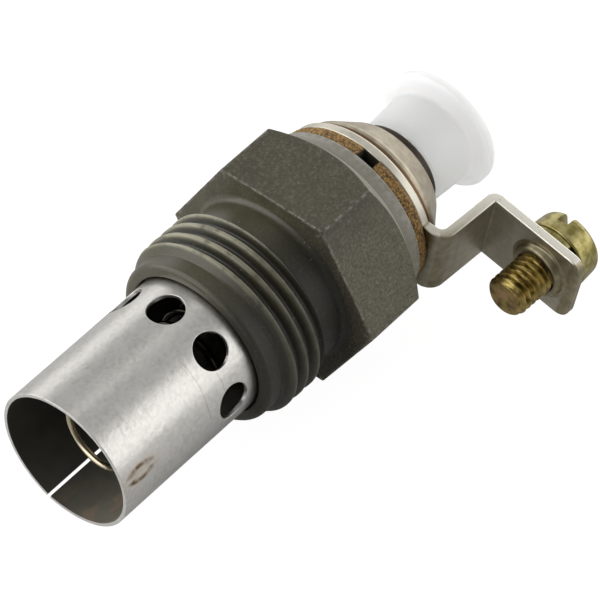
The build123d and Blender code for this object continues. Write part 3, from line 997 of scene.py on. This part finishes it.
def paint_weld(look):
    """Weld mark: a straw halo, and a brown oval ring that fades out at its ends."""
    along = look.math("SUBTRACT", look.axis("X"), coil_weld)
    along = look.times(along, 1 / weld_half_length)
    arc = look.math("SUBTRACT", look.turn(), radians(coil_weld_angle))
    arc = look.times(arc, shield_radius / weld_half_width)
    square = look.math("ADD", look.times(along, along), look.times(arc, arc))
    distance = look.math("SQRT", square)
    ring = look.within(look.off(distance, 1.0), 0.5, 0.1)
    beside = look.math("DIVIDE", look.math("ABSOLUTE", arc), look.math("ADD", distance, 0.01))
    patch = look.within(look.noise(0.7, 4.0), 0.35, 0.6)
    outward = look.within(look.axis("X"), coil_weld + 1.6, coil_weld - 0.6)
    brown = look.times(ring, look.blend(patch, 0.5, 1.0))
    brown = look.times(brown, look.within(beside, 0.12, 0.5))
    brown = look.times(brown, look.blend(outward, 0.6, 1.0))
    look.paint(look.within(distance, 2.4, 0.9), (0.62, 0.5, 0.36), 0.3)
    look.paint(brown, (0.16, 0.095, 0.04))


def shield_inside_look():
    """Inside of the shield, scaled nearly black by heat, with rusty patches, and lighter towards -Y
    as painted light.
    """
    look = Look("scaled_sheet", (0.045, 0.043, 0.037))
    cloud = look.noise(2.2, 5.0)
    # Painted light: the inside is lighter towards -Y, as if lit from that side; the rusty patches
    # show only there.
    side = look.within(look.axis("Y"), 5, -6)
    look.paint(cloud, (0.085, 0.083, 0.07))
    look.paint(side, look.mix(cloud, (0.1, 0.093, 0.072), (0.17, 0.16, 0.128)))
    rust = look.times(look.within(look.noise(2.6, 5.0), 0.5, 0.6), side)
    look.paint(rust, (0.24, 0.15, 0.1), 0.5)
    look.set("Specular IOR Level", 0.15)
    look.set("Roughness", look.blend(cloud, 0.4, 0.6))
    look.bump(look.noise(0.3, 3.0), 0.008)
    return look.material


def fibre_look():
    """Pressed brown fibre, mottled light and dark, with painted shade near black in its notch."""
    look = Look("brown_fibre", (0.06, 0.028, 0.007), 0.75)
    grain = look.noise(0.3, 5.0, rough=0.75)
    look.paint(look.within(grain, 0.36, 0.66), (0.45, 0.262, 0.068))
    look.paint(look.within(look.noise(0.4, 4.0), 0.54, 0.66), (0.06, 0.034, 0.014))
    # Painted shade: the notch is near black, as the gap there is in shadow.
    look.paint(look.mark("notch_shade"), (0.008, 0.007, 0.006))
    look.bump(grain, 0.15)
    return look.material


def nickel_look(name, dark, light, foot_band=0.0):
    """Warm satin nickel plate with small pits, and a brown band at the collar's foot, up to a height.
    """
    look = Look(name, dark, metallic=1.0)
    cloud = look.noise(1.0, 6.0)
    look.paint(look.within(cloud, 0.3, 0.7), light)
    # Near-white marks; on the strap tab's rounded edges these are painted highlight.
    look.paint(look.mark("wear_and_highlight"), (0.84, 0.81, 0.72))
    pits = look.within(look.noise(0.3, 3.0), 0.62, 0.74)
    look.paint(pits, (0.22, 0.18, 0.13), 0.5)
    if foot_band:
        # Brown band along the collar's foot, up to the given height.
        foot = look.within(look.axis("X"), collar_start + foot_band, collar_start + foot_band * 0.75)
        look.paint(foot, (0.13, 0.065, 0.028), 0.9)
    look.set("Roughness", look.blend(cloud, 0.32, 0.5))
    look.bump(look.noise(0.25, 4.0), 0.012)
    look.bump(look.noise(0.9, 2.0), 0.02)
    return look.material


def black_look():
    """Blackened steel with a brown cast."""
    look = Look("black_steel", (0.016, 0.013, 0.01), 0.38, 0.6)
    look.paint(look.noise(0.8, 4.0), (0.07, 0.05, 0.034))
    look.bump(look.noise(0.2, 3.0, (1, 0.1, 0.1)), 0.01)
    return look.material


def zinc_look(name, dark, light, pink):
    """Yellow passivated zinc: gold, with faint interference colours."""
    look = Look(name, dark, metallic=1.0)
    cloud = look.noise(1.1, 4.0)
    tint = look.noise(0.9, 2.0)
    look.paint(look.within(cloud, 0.35, 0.65), light)
    look.paint(look.within(tint, 0.5, 0.68), pink, 0.3)
    look.paint(look.times(look.mark("wear_and_highlight"), look.within(tint, 0.35, 0.6)), pink)
    look.set("Roughness", look.blend(cloud, 0.24, 0.42))
    look.bump(look.noise(0.25, 3.0), 0.008)
    return look.material


def polythene_look():
    """Waxy white moulding, translucent, yellower on its rim, partly its own tint and partly painted
    shade, and in its fold as painted shadow.
    """
    look = Look("white_polythene", (0.93, 0.93, 0.915), 0.4)
    look.paint(look.noise(2.5, 3.0), (0.96, 0.96, 0.945))
    # Rim tint: partly its own colour, partly painted shade.
    rim = look.within(look.axis("X"), brim_end - 1.5, brim_end - 1.05)
    look.paint(rim, (0.85, 0.82, 0.72), 0.3)
    # Painted shadow in the fold where the barrel meets the brim.
    fold = look.within(look.off(look.axis("X"), brim_end - 2.15), 0.4, 0.05)
    look.paint(fold, (0.8, 0.75, 0.62), 0.5)
    look.set("Subsurface Weight", 1.0)
    look.set("Subsurface Radius", (0.02, 0.02, 0.019))
    look.set("Subsurface Scale", 1.0)
    look.bump(look.noise(0.7, 3.0), 0.012)
    return look.material


def wire_look():
    """Bare resistance wire, straw coloured near the shield's mouth and left near black further in as
    painted shade.
    """
    look = Look("resistance_wire", (0.03, 0.026, 0.02), 0.25, 1.0)
    # Painted shade: the base colour is near black, and the straw colour shows only near the shield's
    # mouth.
    bright = look.within(look.axis("X"), shield_mouth + 9, shield_mouth + 5)
    straw = look.mix(look.noise(1.5, 3.0), (0.42, 0.36, 0.26), (0.66, 0.58, 0.42))
    look.paint(bright, straw)
    look.bump(look.noise(0.15, 2.0), 0.004)
    return look.material


def ceramic_look():
    """Unglazed white ceramic, coloured nearly black with lighter patches."""
    look = Look("white_ceramic", (0.008, 0.007, 0.006), 0.8)
    look.paint(look.within(look.noise(1.5, 4.0), 0.3, 0.75), (0.05, 0.045, 0.038))
    look.set("Specular IOR Level", 0.1)
    look.bump(look.noise(0.2, 3.0), 0.01)
    return look.material


def valve_look():
    """Turned steel of the valve parts."""
    look = Look("valve_steel", (0.36, 0.33, 0.3), 0.3, 1.0)
    look.paint(look.noise(1.0, 4.0), (0.56, 0.54, 0.5))
    look.bump(look.noise(0.15, 2.0, (1, 0.05, 0.05)), 0.006)
    return look.material


def dress(made, slot, *materials):
    """Give a piece its materials and attach it to the root body; the slot is not used."""
    for material in materials:
        made.data.materials.append(material)
    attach(made, "root")


def backdrop_share(tree, mirrored):
    """How white a ray finds the backdrop: wholly if straight or through glass, less in metal."""
    ray = add_node(tree, "LightPath").outputs
    inputs = {0: ray["Is Camera Ray"], 1: ray["Is Transmission Ray"]}
    straight = add_node(tree, "Math", inputs, operation="MAXIMUM").outputs[0]
    inputs = {0: ray["Is Glossy Ray"], 1: mirrored, 2: straight}
    return add_node(tree, "Math", inputs, operation="MULTIPLY_ADD").outputs[0]


def floor_material():
    """Floor that the camera sees as white, darkened a little by the plug's shadow."""
    material = bpy.data.materials.new("pale_floor")
    material.use_nodes = True
    tree = material.node_tree
    tree.nodes.clear()

    def shader(kind, inputs):
        return add_node(tree, kind, inputs).outputs[0]

    matt = shader("BsdfDiffuse", {"Color": (floor_grey, floor_grey, floor_grey, 1)})
    glossy = shader("BsdfGlossy", {"Color": (0.8, 0.8, 0.8, 1), "Roughness": 0.45})
    table = shader("MixShader", {0: floor_sheen, 1: matt, 2: glossy})
    white = shader("Emission", {"Color": (0.95, 0.95, 0.95, 1)})
    faint = shader("BsdfDiffuse", {"Color": (0.16, 0.16, 0.16, 1)})
    seen = shader("AddShader", {0: white, 1: faint})
    mixed = shader("MixShader", {0: backdrop_share(tree, floor_mirrored), 1: table, 2: seen})
    add_node(tree, "OutputMaterial", {"Surface": mixed})
    return material


def make_floor():
    """Wide flat floor just under the hexagon's lowest side."""
    size, height = 1500, -hex_apothem - 0.03
    corners = [(-size, -size, height), (size, -size, height), (size, size, height),
               (-size, size, height)]
    floor = add_object("floor", corners, [(0, 1, 2, 3)])
    floor.data.materials.append(floor_material())


def make_world():
    """Soft panels of light in a dim room, and white behind the plug for the camera."""
    world = bpy.data.worlds.new("studio")
    bpy.context.scene.world = world
    world.use_nodes = True
    tree = world.node_tree
    where = add_node(tree, "TexCoord").outputs["Generated"]
    light = room_light
    for azimuth, elevation, full, fade, strength in panels:
        a, e = radians(azimuth), radians(elevation)
        inputs = {0: where, 1: (cos(a) * cos(e), sin(a) * cos(e), sin(e))}
        toward = add_node(tree, "VectorMath", inputs, operation="DOT_PRODUCT").outputs["Value"]
        panel = add_node(tree, "MapRange", {
            "Value": toward, "From Min": cos(radians(fade)), "From Max": cos(radians(full)),
            "To Max": strength,
        }, interpolation_type="SMOOTHSTEP").outputs["Result"]
        light = add_node(tree, "Math", {0: light, 1: panel}, operation="ADD").outputs[0]
    inputs = {0: backdrop_share(tree, room_mirrored), 6: light, 7: (1, 1, 1, 1)}
    seen = add_node(tree, "Mix", inputs, data_type="RGBA").outputs[2]
    feed(tree, tree.nodes["Background"].inputs[0], seen)


def make_camera():
    """The photograph's camera."""
    data = bpy.data.cameras.new("camera")
    data.lens = camera_lens
    data.sensor_width = 36
    data.clip_start, data.clip_end = 0.01, 10
    camera = bpy.data.objects.new("camera", data)
    bpy.context.scene.collection.objects.link(camera)
    place, target = Vector(camera_place) * MM, Vector(camera_target) * MM
    camera.rotation_mode = "QUATERNION"
    turn = (target - place).to_track_quat("-Z", "Y").to_matrix().to_4x4()
    turn = turn @ Matrix.Rotation(radians(camera_roll), 4, "Z")
    camera.matrix_world = Matrix.Translation(place) @ turn
    bpy.context.scene.camera = camera


def dress_hidden_nodes():
    """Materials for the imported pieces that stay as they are."""
    for material, nodes in (
        (fibre_look(), ("insulating_bush", "inner_washer")),
        (valve_look(), ("valve_tube", "valve_ball", "valve_stem")),
        (ceramic_look(), ("heater_sleeve",)),
    ):
        for node in nodes:
            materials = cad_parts[node].data.materials
            materials.clear()
            materials.append(material)


def build():
    """Everything in the scene."""
    dress(make_body(), "phosphated_steel", body_look())
    dress(make_shield(), "stainless_sheet")
    nickel = nickel_look("nickel_plate", (0.208, 0.178, 0.11), (0.35, 0.308, 0.204))
    for piece in make_strap():
        dress(piece, "nickel_plate", nickel)
    nickel = nickel_look("nickel_collar", (0.34, 0.295, 0.22), (0.45, 0.4, 0.31), foot_band=0.8)
    dress(make_collar(), "nickel_plate", nickel)
    zinc = zinc_look("zinc_brown", (0.13, 0.09, 0.02), (0.46, 0.36, 0.12), (0.62, 0.38, 0.2))
    dress(make_shank(), "yellow_zinc", zinc)
    zinc = zinc_look("yellow_zinc", (0.22, 0.185, 0.055), (0.42, 0.37, 0.165), (0.34, 0.28, 0.1))
    dress(make_head(), "yellow_zinc", zinc)
    dress(make_split_washer(), "yellow_zinc", zinc)
    dress(make_fibre(), "brown_fibre", fibre_look())
    dress(make_plug(), "white_polythene", polythene_look())
    dress(make_neck(), "black_steel", black_look())
    dress(make_coil(), "resistance_wire", wire_look())
    dress_hidden_nodes()
    make_floor()
    make_world()
    make_camera()
    bpy.context.scene.view_settings.view_transform = "Standard"


build()
